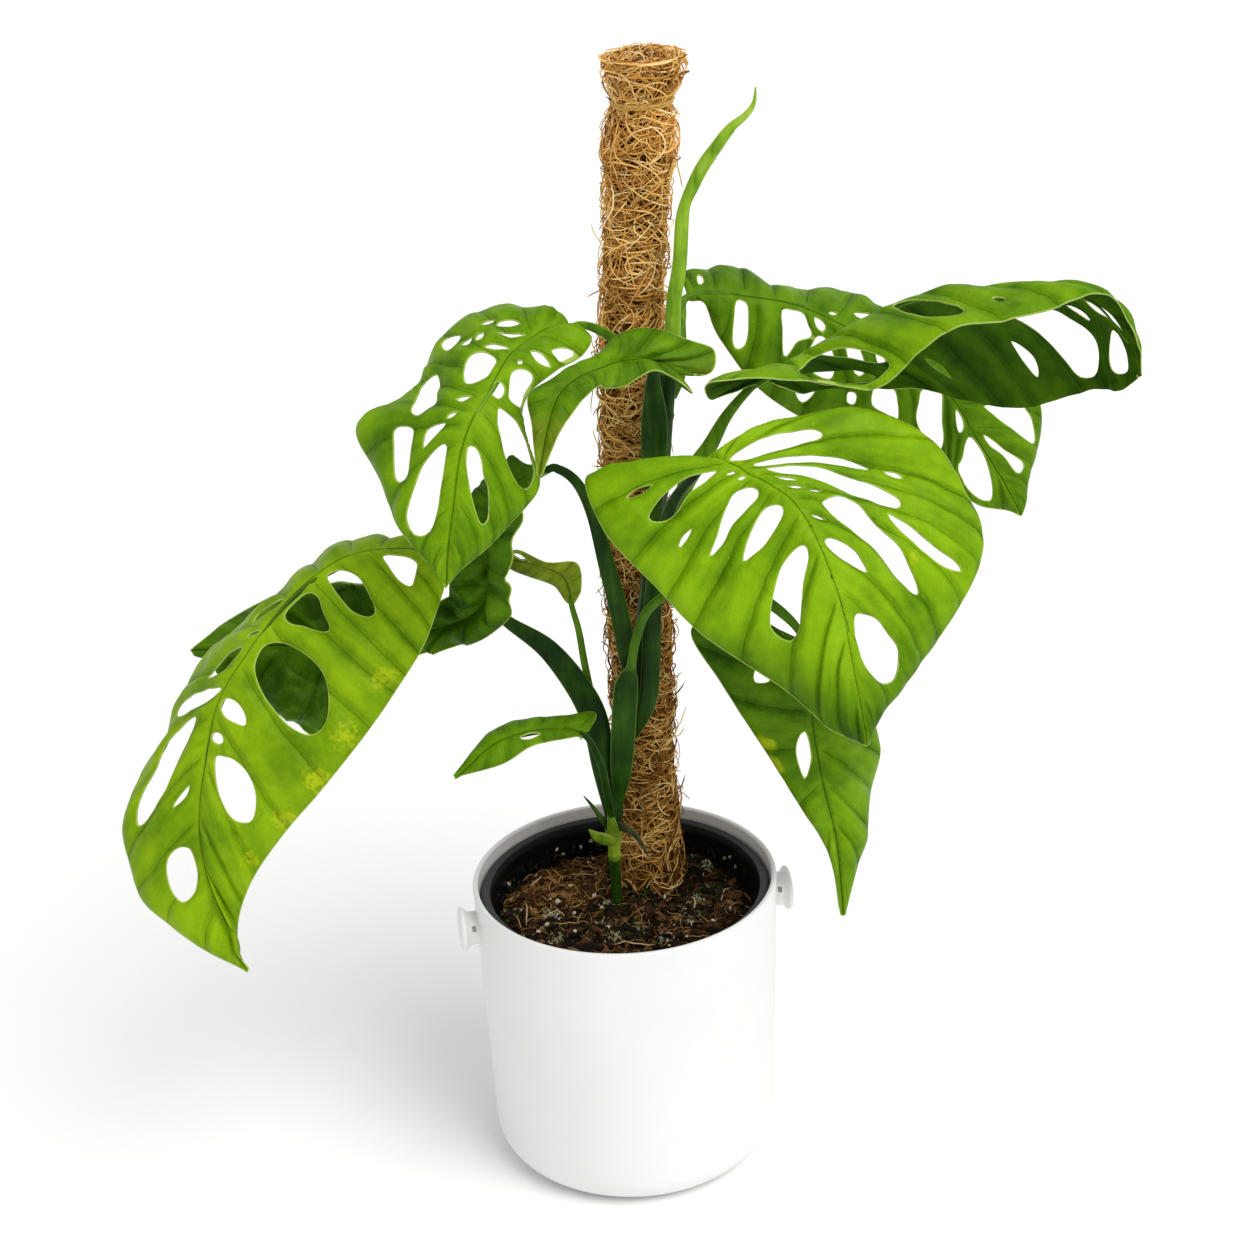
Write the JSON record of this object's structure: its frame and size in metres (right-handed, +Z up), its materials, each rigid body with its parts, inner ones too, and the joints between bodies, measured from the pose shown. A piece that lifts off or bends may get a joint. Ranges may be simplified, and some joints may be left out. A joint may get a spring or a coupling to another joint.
{
  "type": "potted climbing monstera",
  "caption": "Climbing monstera with perforated leaves on a coir pole, in a nursery pot inside a round cover pot with two handle pegs.",
  "frame": {"origin": "centre of the cover pot's flat underside, on the pot's axis", "axes": "+Z up along the pot's axis, -Y towards the viewer of the picture, +X to the right"},
  "size_m": [0.5395, 0.2428, 0.6296],
  "materials": {
    "pot_white": "satin",
    "pot_black": "satin",
    "soil_brown": "rough",
    "coir_brown": "rough fibre",
    "core_wood": "raw",
    "twine": "rough fibre",
    "leaf_bright": "waxy",
    "leaf_dark": "waxy",
    "stem_green": "waxy",
    "new_green": "waxy"
  },
  "bodies": {
    "root": {"cover_pot": "pot_white", "nursery_pot": "pot_black", "soil": "soil_brown", "coir_wrap": "coir_brown", "pole_core": "core_wood", "twine_tie": "twine", "stem": "stem_green", "new_leaf": "new_green", "leaf_right_front": "leaf_bright", "leaf_right_low": "leaf_dark", "leaf_right_high": "leaf_bright", "leaf_right_back": "leaf_bright", "leaf_left_high": "leaf_bright", "leaf_left_low": "leaf_bright", "leaf_left_curled": "leaf_dark", "leaf_pole_front": "leaf_dark", "leaf_left_small": "leaf_dark", "leaf_left_young": "leaf_bright"}
  },
  "joints": []
}
